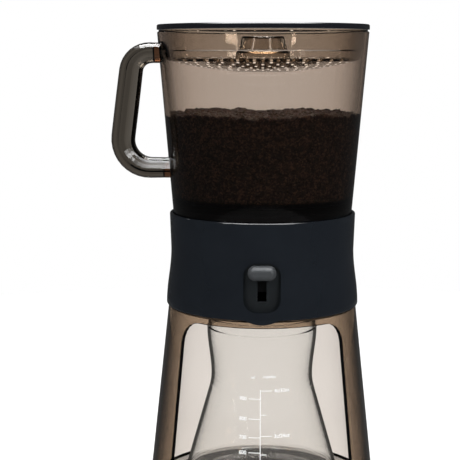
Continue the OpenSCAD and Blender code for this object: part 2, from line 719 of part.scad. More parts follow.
// Centreline of the handle as [x, z, heading of its outer side]
handle_path = concat(
    [[-vessel_r(grip_top_z) - stub_l, grip_top_z, 90]],
    [for (i = [0 : 8]) let (a = 90 + (90 - grip_lean) * i / 8)
        [-handle_reach + bend_top_r * cos(a), grip_top_z - bend_top_r + bend_top_r * sin(a), a]],
    [for (i = [1 : 5]) let (t = i / 6, a = 180 - grip_lean) [
        -handle_reach + mix(bend_top_r, bend_low_r, t) * cos(a),
        mix(grip_top_z - bend_top_r + bend_top_r * sin(a), grip_low_z + bend_low_r + bend_low_r * sin(a), t),
        a]],
    [for (i = [0 : 10]) let (a = 180 - grip_lean + (90 + grip_lean) * i / 10)
        [-handle_reach + bend_low_r * cos(a), grip_low_z + bend_low_r + bend_low_r * sin(a), a]],
    [[-vessel_r(grip_low_z) - stub_l, grip_low_z, 270]]
);

// Grip swept along its centreline, thickest at mid height
module handle() color([0.30, 0.28, 0.27, 0.7]) {
    rings = len(handle_path);
    points = [for (i = [0 : rings - 1]) let (
        p = handle_path[i],
        t = handle_t + handle_swell * sin(180 * i / (rings - 1))
    ) for (q = grip(t, handle_w)) [p[0] + q[0] * cos(p[2]), q[1], p[1] + q[0] * sin(p[2])]];
    caps = [
        [for (k = [0 : grip_sides - 1]) grip_sides - 1 - k],
        [for (k = [0 : grip_sides - 1]) (rings - 1) * grip_sides + k]
    ];
    polyhedron(points, concat([for (i = [0 : rings - 2]) each band(i, grip_sides)], caps));
}

// ---------------------------------------------------------------- filter

seal_t = 1.2;          // thickness of the soft seal round the filter
mesh_t = 0.5;          // thickness of the steel mesh
mesh_z = filter_z + filter_h / 2;
mesh_lap = 1.2;        // ring left outside the mesh
seal_gap = 0.1;        // between the seal and the filter's seat
filter_ring_r = filter_r - seal_gap - seal_t - run_gap;
spoke_w = 2;           // width of the spokes under the mesh
boss_disc_r = 5;       // radius of the disc where the spokes meet
hoop_w = 4.5;          // width of the filter's ring

// Ring with spokes that carries the mesh
module filter_ring() color([0.15, 0.15, 0.16]) union() {
    difference() {
        translate([0, 0, filter_z]) cylinder(r = filter_ring_r, h = filter_h);
        translate([0, 0, filter_z - cut]) cylinder(r = filter_ring_r - hoop_w, h = filter_h + 2 * cut);
        translate([0, 0, mesh_z - run_gap]) cylinder(r = filter_ring_r - mesh_lap, h = mesh_t + 2 * run_gap);
    }
    translate([0, 0, filter_z]) cylinder(r = boss_disc_r, h = mesh_z - filter_z - run_gap);
    for (a = [0 : 60 : 300]) rotate(a) translate([boss_disc_r - 1, -spoke_w / 2, filter_z])
        cube([filter_ring_r - hoop_w - boss_disc_r + 2, spoke_w, mesh_z - filter_z - run_gap]);
}

// Fine steel mesh
module filter_mesh() color([0.70, 0.70, 0.72])
    translate([0, 0, mesh_z]) cylinder(r = filter_ring_r - mesh_lap - run_gap, h = mesh_t);

// Soft seal between the filter's ring and its seat
module filter_seal() color([0.30, 0.30, 0.30]) translate([0, 0, filter_z]) difference() {
    cylinder(r = filter_r - seal_gap, h = filter_h - 0.4);
    translate([0, 0, -cut]) cylinder(r = filter_r - seal_gap - seal_t, h = filter_h + 2 * cut);
}

// ---------------------------------------------------------------- valve

stem_r = 2;            // radius of the valve's stem
stem_head_r = 3.6;     // radius of the stem's head
stem_head_h = 0.8;     // height of the stem's head
fit_gap = 0.02;        // between the stem and what is pressed on it
stem_z = seat_z + stem_gap;
plug_r = outlet_r + 2.5;
drain_slope = (filter_z - outlet_z) / (filter_r - filter_land - outlet_r);
plug_z = outlet_z + (plug_r - outlet_r) * drain_slope + rest_gap;
plug_t = 2.4;          // thickness of the plug's disc
clip_up = 0.6;         // clip above the stem's end
clip_t = 0.9;          // thickness of the clip
clip_r = 5;            // radius of the clip
guide_t = 2.4;         // thickness of the stem's guide
guide_rim = 1.4;       // width of the guide's outer ring
guide_hub = 2.2;       // width of the guide's hub
arm_half = 0.9;        // half the width of the guide's arms
wire_r = 0.3;          // radius of the spring's wire
coil_r = 3.6;          // radius of the spring's coil
coil_turns = 4.5;
wire_sides = 6;

// Three-armed guide in the outlet
module stem_guide() color([0.72, 0.72, 0.70]) translate([0, 0, guide_z]) difference() {
    union() {
        difference() {
            cylinder(r = outlet_r - run_gap, h = guide_t);
            translate([0, 0, -cut]) cylinder(r = outlet_r - guide_rim, h = guide_t + 2 * cut);
        }
        cylinder(r = stem_r + guide_hub, h = guide_t);
        for (a = [90 : 120 : 330]) rotate(a) translate([stem_r + 1, -arm_half, 0])
            cube([outlet_r - stem_r - 2, 2 * arm_half, guide_t]);
    }
    translate([0, 0, -cut]) cylinder(r = stem_r + run_gap, h = guide_t + 2 * cut);
}

// Steel stem with a flat head
module valve_stem() color([0.78, 0.78, 0.80]) union() {
    translate([0, 0, stem_z]) cylinder(r = stem_r, h = plug_z + plug_t - stem_z);
    translate([0, 0, plug_z + plug_t]) cylinder(r = stem_head_r, h = stem_head_h);
}

// Soft plug that closes the outlet
module valve_plug() color([0.25, 0.25, 0.26]) rotate_extrude() polygon([
    [stem_r + fit_gap, plug_z - 2], [outlet_r - 1.8, plug_z - 2], [outlet_r - 0.6, plug_z - 0.2],
    [plug_r - 0.5, plug_z], [plug_r, plug_z + 0.4], [plug_r - 1.2, plug_z + plug_t],
    [stem_r + fit_gap, plug_z + plug_t]
]);

// Ring clip that the spring pushes down on
module stem_clip() color([0.65, 0.65, 0.67]) translate([0, 0, stem_z + clip_up]) difference() {
    cylinder(r = clip_r, h = clip_t);
    translate([0, 0, -cut]) cylinder(r = stem_r + fit_gap, h = clip_t + 2 * cut);
    translate([-1, 0, -cut]) cube([2, clip_r + cut, clip_t + 2 * cut]);
}

// Coil spring between the guide and the clip
module valve_spring() color([0.80, 0.80, 0.82]) {
    z0 = stem_z + clip_up + clip_t + wire_r + run_gap;
    z1 = guide_z - wire_r - run_gap;
    steps = ceil(coil_turns * 12);
    points = [for (i = [0 : steps]) let (a = 360 * coil_turns * i / steps, z = mix(z0, z1, i / steps))
        for (k = [0 : wire_sides - 1]) let (b = -360 * k / wire_sides, r = coil_r + wire_r * cos(b))
            [r * cos(a), r * sin(a), z + wire_r * sin(b)]];
    caps = [
        [for (k = [0 : wire_sides - 1]) wire_sides - 1 - k],
        [for (k = [0 : wire_sides - 1]) steps * wire_sides + k]
    ];
    polyhedron(points, concat([for (i = [0 : steps - 1]) each band(i, wire_sides)], caps));
}

// ---------------------------------------------------------------- water distributor

cup_gap = 0.5;         // between the cup and the container's wall
rim_over = 0.3;        // how far the rim stands out past the container
rim_band = 4;          // height of the rim's band
rim_chamfer = 0.8;     // chamfer on the rim's upper edge
rim_inset = 1.2;       // undercut below the band
rim_r = container_r + rim_over;
shoulder_w = 1.2;      // how far the cup's side steps in at its shoulder
shoulder_t = 0.8;      // height of that step
cup_foot_z = edge_z - cup_depth;
shoulder_z = edge_z - shoulder_depth;
cup_corner = 4;        // radius between the dish and the cup's side
dish_r = cup_r(cup_foot_z) - shoulder_w - cup_corner * 3 / 4;
dish_sphere = (dish_r * dish_r + dish_sag * dish_sag) / (2 * dish_sag);
dish_centre = cup_foot_z - dish_sag + dish_sphere;
dish_lean = asin(dish_r / dish_sphere);
corner_x = dish_r - cup_corner * sin(dish_lean);
corner_z = cup_foot_z + cup_corner * cos(dish_lean);
drip_ring_r = dish_r - drip_in;
boss_top = rim_z - boss_drop;
boss_flare = 2.4;      // growth of the boss from its top to its fillet
boss_fillet = 1.8;     // radius of the fillet above the boss's shoulder
boss_round = 1.6;      // radius of the boss's upper edge
boss_foot_r = boss_r + boss_flare + boss_fillet + 0.5;
function cup_r(z) = vessel_r(z) - container_wall - cup_gap;

// Outline of the cup drawn in by d: dish, corner, side with its shoulder, up to height z
function cup_outline(d, z) = concat(
    dish_outline(d, dish_r - d * sin(dish_lean)),
    arc(corner_x, corner_z, cup_corner - d, dish_lean - 90, 0, 5),
    [[cup_r(shoulder_z) - shoulder_w - d, shoulder_z], [cup_r(shoulder_z) - d, shoulder_z + shoulder_t],
     [cup_r(z) - d, z]]
);

// Outline of the dish's face that lies up above its underside, out to radius r
function dish_outline(up, r) = [for (i = [0 : 10]) let (x = r * i / 10)
    [x, dish_centre - sqrt(pow(dish_sphere - up, 2) - x * x)]];

// Solid of the central boss, drawn in by d, down to height foot
module boss(d, foot) {
    fillet_x = boss_r + boss_flare + boss_fillet;
    overhang = max(0, fillet_x - boss_foot_r + d);
    rotate_extrude() polygon(concat(
        [[0, foot], [boss_foot_r - d, foot], [boss_foot_r - d, shoulder_z - boss_fillet / 4 - d]],
        arc(fillet_x, shoulder_z + boss_fillet, boss_fillet + d,
            270 - asin(overhang / (boss_fillet + d)), 180, 4),
        d > 0 ? [[boss_r - d, boss_top - d]]
              : arc(boss_r - boss_round, boss_top - boss_round, boss_round, 0, 90, 4),
        [[0, boss_top - d]]
    ));
}

// Perforated cup that spreads the water over the grounds
module rainmaker() color([0.60, 0.53, 0.46, 0.5]) difference() {
    union() {
        rotate_extrude() difference() {
            polygon(concat(cup_outline(0, edge_z), [
                [container_r - rim_inset, edge_z],
                [container_r - rim_inset, rim_z - rim_band], [rim_r, rim_z - rim_band],
                [rim_r, rim_z - rim_chamfer], [rim_r - rim_chamfer, rim_z], [0, rim_z]
            ]));
            polygon(concat(cup_outline(cup_wall, rim_z + cut), [[0, rim_z + cut]]));
        }
        boss(0, dish_centre - dish_sphere + cup_wall / 2);
    }
    boss(cup_wall, dish_centre - dish_sphere - cut);
    for (ring = [0 : drip_rings - 1]) for (i = [0 : drip_count - 1])
        rotate(360 / drip_count * (i + 0.5 * ((ring + 1) % 2)))
            translate([0, -drip_ring_r + ring * drip_pitch, cup_foot_z - dish_sag - cut])
                cylinder(r = drip_r, h = dish_sag + cup_wall + 2 * cut, $fn = 16);
}

// ---------------------------------------------------------------- carafe

carafe_z = floor_z;
lip_h = 8.5;           // height of the lip above its bead
bead = 1;              // how far the bead stands out
neck_z = 93.5;         // height of the neck's narrowest place above the foot
foot_round = 13;       // radius of the lower corner
belly_lean = 15.6;     // lean of the glass where it leaves the lower corner
neck_soft = 0.15;      // share of the cone that curves into the neck
glass_steps = 24;

belly_z = foot_round * (1 + sin(belly_lean));
shoulder_r = belly_r - foot_round * (1 - cos(belly_lean));

// Change from 0 to 1 that starts level and then runs straight
function soft_start(t) = (t < neck_soft ? t * t / (2 * neck_soft) : t - neck_soft / 2) / (1 - neck_soft / 2);

// Outer radius of the glass at height h above its foot, above the lower corner
function glass_r(h) = h < neck_z
    ? mix(neck_r, shoulder_r, soft_start((neck_z - h) / (neck_z - belly_z)))
    : mix(neck_r, mouth_r + bead, ease((h - neck_z) / (carafe_h - lip_h - neck_z)));

// Outline of the glass drawn in by d, from foot height z0
function glass_outline(d, z0) = concat(
    [[0, z0]],
    arc(belly_r - foot_round, foot_round, foot_round - d, -90, belly_lean, 8),
    [for (i = [1 : glass_steps]) let (h = mix(belly_z, carafe_h - lip_h - 1, i / glass_steps))
        [glass_r(h) - d, h]]
);

// Glass carafe with a beaded lip
module carafe() color([0.85, 0.88, 0.88, 0.35]) translate([0, 0, carafe_z]) rotate_extrude() difference() {
    polygon(concat(glass_outline(0, 0), [
        [mouth_r + bead, carafe_h - lip_h],
        [mouth_r, carafe_h - lip_h + 0.5], [mouth_r, carafe_h - 0.8],
        [mouth_r - 0.8, carafe_h], [0, carafe_h]
    ]));
    polygon(concat(glass_outline(glass_t, glass_t), [
        [mouth_r - glass_t, carafe_h - lip_h], [mouth_r - glass_t, carafe_h + cut], [0, carafe_h + cut]
    ]));
}

stand_shell();
base_pad();
collar();
switch_panel();
deck();
seat_ring();
bottom_cover();
cover_screws();
drip_funnel();
pivot_pin();
switch_button();
switch_slider();
rocker_lever();
pusher_pin();
container();
handle();
filter_ring();
filter_mesh();
filter_seal();
stem_guide();
valve_spring();
valve_stem();
valve_plug();
stem_clip();
rainmaker();
carafe();
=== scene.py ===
import math
import bpy
import numpy as np
from mathutils import Euler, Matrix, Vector


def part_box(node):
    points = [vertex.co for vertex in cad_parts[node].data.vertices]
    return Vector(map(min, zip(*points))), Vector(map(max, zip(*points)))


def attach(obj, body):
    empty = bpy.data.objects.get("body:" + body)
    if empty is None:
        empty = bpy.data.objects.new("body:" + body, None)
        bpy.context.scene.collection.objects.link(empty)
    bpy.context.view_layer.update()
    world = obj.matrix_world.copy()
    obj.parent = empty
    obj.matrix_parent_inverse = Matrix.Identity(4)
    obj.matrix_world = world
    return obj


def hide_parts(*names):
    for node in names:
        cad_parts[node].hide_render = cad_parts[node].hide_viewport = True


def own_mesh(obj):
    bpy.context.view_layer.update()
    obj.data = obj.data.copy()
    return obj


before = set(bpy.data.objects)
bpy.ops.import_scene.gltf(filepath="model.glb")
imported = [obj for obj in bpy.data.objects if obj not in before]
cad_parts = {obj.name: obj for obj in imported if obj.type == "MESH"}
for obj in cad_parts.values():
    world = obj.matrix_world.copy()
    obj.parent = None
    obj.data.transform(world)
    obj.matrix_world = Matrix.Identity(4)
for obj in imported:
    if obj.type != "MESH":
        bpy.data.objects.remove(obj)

print("frame loaded:", len(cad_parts), "nodes")
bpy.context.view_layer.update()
scene = bpy.context.scene
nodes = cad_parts
white = (1, 1, 1, 1)

cameraSetup = dict(
    place=(0.0, -1.0014, 0.3666),  # in line with the switch, a little below the rim's height
    pitch=8.3,                     # degrees below level
    yaw=1.53,                      # degrees to the left, so that the axis stands right of the middle
    lens=95.48,
    sensor=36.0,
)


def makeCamera():
    data = bpy.data.cameras.new("camera")
    data.lens = cameraSetup["lens"]
    data.sensor_width = cameraSetup["sensor"]
    camera = bpy.data.objects.new("camera", data)
    camera.location = cameraSetup["place"]
    pitch, yaw = math.radians(90 - cameraSetup["pitch"]), math.radians(cameraSetup["yaw"])
    camera.rotation_euler = Euler((pitch, 0, yaw))
    scene.collection.objects.link(camera)
    scene.camera = camera


makeCamera()
print("camera ready")


# Node tree of a material or world, emptied but for its output, with short ways to add and join nodes. In add
# and fill, in0 or in6 stands for a socket's number; other names are the socket's own, with _ for a space.
class Tree:
    def __init__(self, owner, output):
        owner.use_nodes = True
        self.owner = owner
        self.nodes = owner.node_tree.nodes
        self.links = owner.node_tree.links
        self.nodes.clear()
        self.output = self.nodes.new(output)

    def fill(self, node, **inputs):
        for key, value in inputs.items():
            numbered = key.startswith("in") and key[2:].isdigit()
            socket = node.inputs[int(key[2:])] if numbered else node.inputs[key.replace("_", " ")]
            if isinstance(value, bpy.types.NodeSocket):
                self.links.new(value, socket)
            else:
                socket.default_value = value
        return node

    def add(self, kind, settings=None, **inputs):
        node = self.nodes.new("ShaderNode" + kind)
        for key, value in (settings or {}).items():
            setattr(node, key, value)
        return self.fill(node, **inputs)

    def calc(self, operation, *values, clamp=False):
        inputs = {"in" + str(i): value for i, value in enumerate(values)}
        return self.add("Math", {"operation": operation, "use_clamp": clamp}, **inputs).outputs[0]

    # From start to end as value goes from low to high, with soft ends
    def ease(self, value, low, high, start=0.0, end=1.0):
        return self.add("MapRange", {"interpolation_type": "SMOOTHSTEP"}, Value=value, From_Min=low,
                        From_Max=high, To_Min=start, To_Max=end).outputs[0]

    def mix(self, share, first, second, blend="MIX"):
        settings = {"data_type": "RGBA", "blend_type": blend}
        return self.add("Mix", settings, in0=share, in6=first, in7=second).outputs[2]

    def shade(self, shader):
        self.links.new(shader, self.output.inputs["Surface"])
        return self.owner


def newMaterial(name):
    return Tree(bpy.data.materials.new(name), "ShaderNodeOutputMaterial")


def rgba(colour):
    return (*colour, 1.0)


# Noise on the part's own coordinates, in patches of about size metres
def noiseOf(tree, size, detail=3.0, stretch=(1, 1, 1)):
    place = tree.add("TexCoord").outputs["Object"]
    spread = tree.add("Mapping", Vector=place, Scale=stretch).outputs["Vector"]
    return tree.add("TexNoise", Vector=spread, Scale=1.0 / size, Detail=detail).outputs["Fac"]


# Noise lies mostly between 0.3 and 0.7. This brings it to low..high.
def ranged(tree, noise, low, high):
    return tree.add("MapRange", Value=noise, From_Min=0.3, From_Max=0.7, To_Min=low, To_Max=high).outputs[0]


# Colour along value, by stops of a place and a colour each
def rampColour(tree, value, stops):
    ramp = tree.add("ValToRGB", Fac=value)
    elements = ramp.color_ramp.elements
    for stop in stops[1:-1]:
        elements.new(stop[0])
    for element, (place, colour) in zip(elements, stops):
        element.position = place
        element.color = rgba(colour)
    return ramp.outputs["Color"]


print("helpers ready")

studio = dict(
    worldLight=0.60,               # strength that lights matt surfaces
    background=1.0,                # what the camera sees, and clear walls near the horizon
    horizon=(0.40, 0.80),          # for clear walls it fades while a ray's share upwards is between these
    overhead=0.22,                 # and this is above
    darkRoom=0.045,                # what gloss sees away from the softboxes
    backdropEdge=(0.2, 0.8),       # rays mirrored inside clear walls see more between these shares backwards,
    backdropShine=0.8,             # up to this
    floorColour=(0.80, 0.80, 0.80),
    floorGlow=0.45,                # the floor's own white, so that it meets the background
    floorDim=(0.10, 0.10, 0.10),   # the floor as gloss sees it
    floorRadius=0.9,
    floorSides=96,
    floorDrop=0.0002,              # the floor lies this far under the part
    softEdge=0.25,                 # softboxes fade out over this share of their half width, to both sides
    softboxes=(                    # seen by gloss alone: direction and half angles in degrees, and strength
        dict(turn=0, up=88, wide=24, high=36, strength=14.0),
        dict(turn=40, up=30, wide=4, high=13, strength=9.0),
        dict(turn=-52, up=30, wide=4, high=13, strength=9.0),
    ),
)


# Shares 0 or 1 of two kinds of ray: plain rays only go through clear walls, and mirrored rays have met gloss,
# also inside a clear wall. Rays that left a matt surface are of neither kind.
def rayKinds(tree):
    path = tree.add("LightPath").outputs
    matt = tree.calc("GREATER_THAN", path["Diffuse Depth"], 0.5)
    turned = tree.calc("GREATER_THAN", path["Glossy Depth"], 0.5)
    spoilt = tree.calc("MAXIMUM", matt, turned)
    plain = tree.calc("SUBTRACT", path["Is Transmission Ray"], spoilt, clamp=True)
    mirrored = tree.calc("SUBTRACT", turned, matt, clamp=True)
    return plain, mirrored


# 1 where the direction way points into the softbox, 0 outside it and behind
def softboxShare(tree, way, box):
    turn, up = math.radians(-box["turn"]), math.radians(box["up"])
    turned = tree.add("VectorRotate", {"rotation_type": "Z_AXIS"}, Vector=way, Angle=turn).outputs[0]
    tipped = tree.add("VectorRotate", {"rotation_type": "X_AXIS"}, Vector=turned, Angle=up).outputs[0]
    place = tree.add("SeparateXYZ", Vector=tipped).outputs
    share = tree.calc("LESS_THAN", place["Y"], 0.0)
    for axis, half in (("X", box["wide"]), ("Z", box["high"])):
        reach = math.sin(math.radians(half))
        low, high = reach * (1 - studio["softEdge"]), reach * (1 + studio["softEdge"])
        inside = tree.ease(tree.calc("ABSOLUTE", place[axis]), low, high, 1.0, 0.0)
        share = tree.calc("MULTIPLY", share, inside)
    return share


# The camera sees white. Clear walls see white near the horizon and a dim ceiling. Gloss sees a dim room with
# softboxes.
def makeWorld():
    world = bpy.data.worlds.new("studioWorld")
    scene.world = world
    tree = Tree(world, "ShaderNodeOutputWorld")

    def sky(strength):
        return tree.add("Background", Color=white, Strength=strength).outputs[0]

    way = tree.add("TexCoord").outputs["Generated"]
    toward = tree.add("SeparateXYZ", Vector=way).outputs
    ceiling = tree.ease(toward["Z"], *studio["horizon"], studio["background"], studio["overhead"])
    room = studio["darkRoom"]
    for box in studio["softboxes"]:
        room = tree.calc("MULTIPLY_ADD", softboxShare(tree, way, box), box["strength"], room)
    backdrop = tree.ease(toward["Y"], *studio["backdropEdge"], 0.0, studio["backdropShine"])
    inWall = tree.add("LightPath").outputs["Is Transmission Ray"]
    room = tree.calc("ADD", room, tree.calc("MULTIPLY", backdrop, inWall))
    plain, mirrored = rayKinds(tree)
    lit = tree.add("MixShader", in0=mirrored, in1=sky(studio["worldLight"]), in2=sky(room)).outputs[0]
    clear = tree.add("MixShader", in0=plain, in1=lit, in2=sky(ceiling)).outputs[0]
    direct = tree.add("LightPath").outputs["Is Camera Ray"]
    seen = tree.add("MixShader", in0=direct, in1=clear, in2=sky(studio["background"])).outputs[0]
    tree.shade(seen)


# Matt pale round floor. The camera and clear walls also see some white of its own; gloss sees it dim.
def makeFloor():
    tree = newMaterial("paleFloor")
    plain, mirrored = rayKinds(tree)
    seen = tree.calc("MAXIMUM", tree.add("LightPath").outputs["Is Camera Ray"], plain)
    strength = tree.calc("MULTIPLY", seen, studio["floorGlow"])
    colour = tree.mix(mirrored, rgba(studio["floorColour"]), rgba(studio["floorDim"]))
    matt = tree.add("BsdfDiffuse", Color=colour).outputs[0]
    glow = tree.add("Emission", Color=white, Strength=strength).outputs[0]
    tree.shade(tree.add("AddShader", in0=matt, in1=glow).outputs[0])
    turn = np.linspace(0, 2 * np.pi, studio["floorSides"], endpoint=False)
    rim = np.stack([studio["floorRadius"] * np.cos(turn), studio["floorRadius"] * np.sin(turn),
                    np.full(len(turn), -studio["floorDrop"])], -1)
    mesh = bpy.data.meshes.new("floor")
    mesh.from_pydata(rim.tolist(), [], [tuple(range(len(turn)))])
    mesh.materials.append(tree.owner)
    floor = bpy.data.objects.new("floor", mesh)
    scene.collection.objects.link(floor)


lamps = [
    dict(name="keyRight", place=(0.77, -0.92, 0.74), aim=(0, 0, 0.20), size=(0.34, 0.30), watts=5.0),
    dict(name="keyLeft", place=(-0.76, -0.94, 0.74), aim=(0, 0, 0.20), size=(0.12, 0.30), watts=2.0),
    dict(name="top", place=(0.10, 0.12, 1.30), aim=(0, 0, 0.25), size=(0.60, 0.40), watts=4.0),
]


def makeLamps():
    for lamp in lamps:
        data = bpy.data.lights.new(lamp["name"], "AREA")
        data.shape = "RECTANGLE"
        data.size, data.size_y = lamp["size"]
        data.energy = lamp["watts"]
        thing = bpy.data.objects.new(lamp["name"], data)
        thing.location = lamp["place"]
        thing.visible_glossy = False     # gloss sees the softboxes of the world instead
        to = Vector(lamp["aim"]) - Vector(lamp["place"])
        thing.rotation_euler = to.to_track_quat("-Z", "Y").to_euler()
        scene.collection.objects.link(thing)


makeWorld()
makeFloor()
makeLamps()
print("studio ready")


# Place on the part, as X, Y and Z
def placeOf(tree):
    return tree.add("SeparateXYZ", Vector=tree.add("TexCoord").outputs["Object"]).outputs


# Distance from the part's axis
def radiusOf(tree, place):
    square = tree.calc("MULTIPLY", place["X"], place["X"])
    return tree.calc("SQRT", tree.calc("MULTIPLY_ADD", place["Y"], place["Y"], square))


# How far a face looks upwards: 1 for a level top, 0 for a wall
def slopeOf(tree):
    return tree.add("SeparateXYZ", Vector=tree.add("NewGeometry").outputs["True Normal"]).outputs["Z"]


# 1 where value lies between low and high, with soft ends
def within(tree, value, low, high, soft):
    rise = tree.ease(value, low - soft, low + soft)
    fall = tree.ease(value, high - soft, high + soft, 1.0, 0.0)
    return tree.calc("MULTIPLY", rise, fall)


# Places on the clear pieces painted opaque, as shade or as glints, each as low, high and softness in metres
# or in slope
paintedParts = dict(
    rim=(0.3842, 0.3985, 0.0002),         # heights of the distributor's rim, painted near-black as shade
    taper=0.08368,                        # growth of the container's inner radius per metre of height
    skirtInside=(-1.0, 0.05215, 0.0004),  # radius less taper times height, for the skirt's inner faces
    skirtHeight=(-1.0, 0.2517, 0.0003),   # they end below the bed
    holeSlope=(-0.35, 0.35, 0.05),
    holeRadius=(0.033, 0.0745, 0.0002),   # the drip holes lie between these radii
)


# The distributor's rim, painted near-black as shade
def darkRim(tree):
    return within(tree, placeOf(tree)["Z"], *paintedParts["rim"])


# Inner faces of the container's skirt and the underside of its floor, painted near-black as shade
def darkSkirt(tree):
    place = placeOf(tree)
    cone = tree.calc("MULTIPLY_ADD", place["Z"], -paintedParts["taper"], radiusOf(tree, place))
    inner = within(tree, cone, *paintedParts["skirtInside"])
    low = within(tree, place["Z"], *paintedParts["skirtHeight"])
    return tree.calc("MULTIPLY", inner, low)


# Upright walls of the drip holes, painted white and glowing as glints
def brightHoles(tree):
    upright = within(tree, slopeOf(tree), *paintedParts["holeSlope"])
    ring = within(tree, radiusOf(tree, placeOf(tree)), *paintedParts["holeRadius"])
    return tree.calc("MULTIPLY", upright, ring)


clearLooks = dict(
    patch=0.012,                   # size of the patches in which the roughness drifts
    sideSlope=(-0.6, 0.6, 0.1),    # faces tinted by sides
    frontEdge=(0.030, -0.020),     # the tint front grows between these places along Y
    clearGloss=0.5,
    # painted glints in the drip holes: white colour, and a glow though they are no lamp
    brightColour=(0.92, 0.90, 0.87),
    brightGlow=(1.0, 0.97, 0.93),
    brightStrength=0.8,
    spare=1.1,                     # density over the largest loss, so that no colour of the absorption is 0
)


# colour times tint, where share says so
def tinted(tree, colour, share, tint):
    return tree.mix(1.0, colour, tree.mix(share, white, rgba(tint)), blend="MULTIPLY")


# Clear plastic or glass, tinted by what its depth takes away: keeps is the share of each colour left after
# depth metres. Rims are painted darker where they are seen edge on, as painted shade; or a given ramp paints
# how light the piece is from face on to edge on, as painted highlights and shade. Rays from the lamps pass its
# faces straight, so that what is inside is lit. sides is a further tint of upright faces, front one of the
# half that faces forwards. Two masks mark places painted opaque: near-black ones as painted shade, white
# glowing ones as painted glints.
def clearFinish(name, keeps, depth=0.003, rough=(0.0, 0.02), ior=1.5, edgeShade=0.9, turned=(0.25, 0.95),
                paintedBands=None, sides=None, front=None, paintedShade=None, shadeColour=(0.010, 0.011, 0.014), gloss=0.5,
                bright=None):
    look = clearLooks
    tree = newMaterial(name)
    roughness = ranged(tree, noiseOf(tree, look["patch"]), *rough)
    facing = tree.add("LayerWeight", Blend=0.5).outputs["Facing"]
    # painted highlight and shade: the ramp sets how light the piece looks from face on to edge on
    if paintedBands:
        colour = rampColour(tree, facing, [(place, (share, share, share)) for place, share in paintedBands])
    else:
        # painted shade: the colour darkens towards faces seen edge on
        rim = tree.ease(facing, *turned, 1.0, 1.0 - edgeShade)
        colour = tree.add("CombineColor", in0=rim, in1=rim, in2=rim).outputs[0]
    if sides:
        colour = tinted(tree, colour, within(tree, slopeOf(tree), *look["sideSlope"]), sides)
    if front:
        colour = tinted(tree, colour, tree.ease(placeOf(tree)["Y"], *look["frontEdge"]), front)
    body = tree.add("BsdfPrincipled", IOR=ior, Roughness=roughness)
    through = 1.0
    # painted shade: the masked places become opaque and near-black
    if paintedShade:
        mask = paintedShade(tree)
        colour = tree.mix(mask, colour, rgba(shadeColour))
        through = tree.calc("SUBTRACT", through, mask)
        shine = tree.add("MapRange", Value=mask, To_Min=look["clearGloss"], To_Max=gloss).outputs[0]
        tree.fill(body, Specular_IOR_Level=shine)
    # painted glints: the masked places become opaque white and glow
    if bright:
        mask = bright(tree)
        colour = tree.mix(mask, colour, rgba(look["brightColour"]))
        through = tree.calc("SUBTRACT", through, mask)
        glow = tree.calc("MULTIPLY", mask, look["brightStrength"])
        tree.fill(body, Emission_Color=rgba(look["brightGlow"]), Emission_Strength=glow)
    tree.fill(body, Base_Color=colour, Transmission_Weight=through)
    straight = tree.add("BsdfTransparent", Color=white).outputs[0]
    shadow = tree.add("LightPath").outputs["Is Shadow Ray"]
    loss = [-math.log(share) / depth for share in keeps]
    density = look["spare"] * max(loss)
    left = rgba([1 - one / density for one in loss])
    inside = tree.add("VolumeAbsorption", Color=left, Density=density).outputs[0]
    tree.links.new(inside, tree.output.inputs["Volume"])
    return tree.shade(tree.add("MixShader", in0=shadow, in1=body.outputs[0], in2=straight).outputs[0])


# Moulded plastic or rubber: colour drifts between two near shades, with a fine grain in roughness and bump
def mouldedFinish(name, colour, other, rough=(0.3, 0.4), grain=0.0006, depth=0.00002, specular=0.5,
                  patch=0.03):
    tree = newMaterial(name)
    drift = ranged(tree, noiseOf(tree, patch), 0.0, 1.0)
    roughness = ranged(tree, noiseOf(tree, patch / 3), *rough)
    bump = tree.add("Bump", Height=noiseOf(tree, grain, detail=2.0), Strength=0.6, Distance=depth)
    body = tree.add("BsdfPrincipled", Base_Color=tree.mix(drift, rgba(colour), rgba(other)),
                    Roughness=roughness, Specular_IOR_Level=specular, Normal=bump.outputs["Normal"])
    return tree.shade(body.outputs[0])


# Drawn or ground steel: fine streaks along the direction in which stretch is small
def steelFinish(name, colour=(0.60, 0.60, 0.62), rough=(0.18, 0.34), stretch=(1, 1, 0.05), streak=0.0005):
    tree = newMaterial(name)
    noise = noiseOf(tree, streak, stretch=stretch)
    bump = tree.add("Bump", Height=noise, Strength=0.4, Distance=0.00002)
    body = tree.add("BsdfPrincipled", Base_Color=rgba(colour), Metallic=1.0,
                    Roughness=ranged(tree, noise, *rough), Normal=bump.outputs["Normal"])
    return tree.shade(body.outputs[0])


# Fine woven steel mesh: wires as two crossed sine waves at the given pitch, with the low places between the
# wires painted darker as shade
def wovenFinish(name, pitch=0.0005, hollowShade=(0.10, 0.10, 0.10), wire=(0.62, 0.62, 0.64)):
    tree = newMaterial(name)
    place = placeOf(tree)
    waves = [tree.calc("SINE", tree.calc("MULTIPLY", place[axis], 2 * math.pi / pitch)) for axis in "XY"]
    both = tree.calc("MULTIPLY", *waves)
    height = tree.add("MapRange", Value=both, From_Min=-1.0, From_Max=1.0).outputs[0]
    bump = tree.add("Bump", Height=height, Strength=1.0, Distance=pitch / 3)
    body = tree.add("BsdfPrincipled", Base_Color=tree.mix(height, rgba(hollowShade), rgba(wire)), Metallic=1.0,
                    Roughness=0.35, Normal=bump.outputs["Normal"])
    return tree.shade(body.outputs[0])


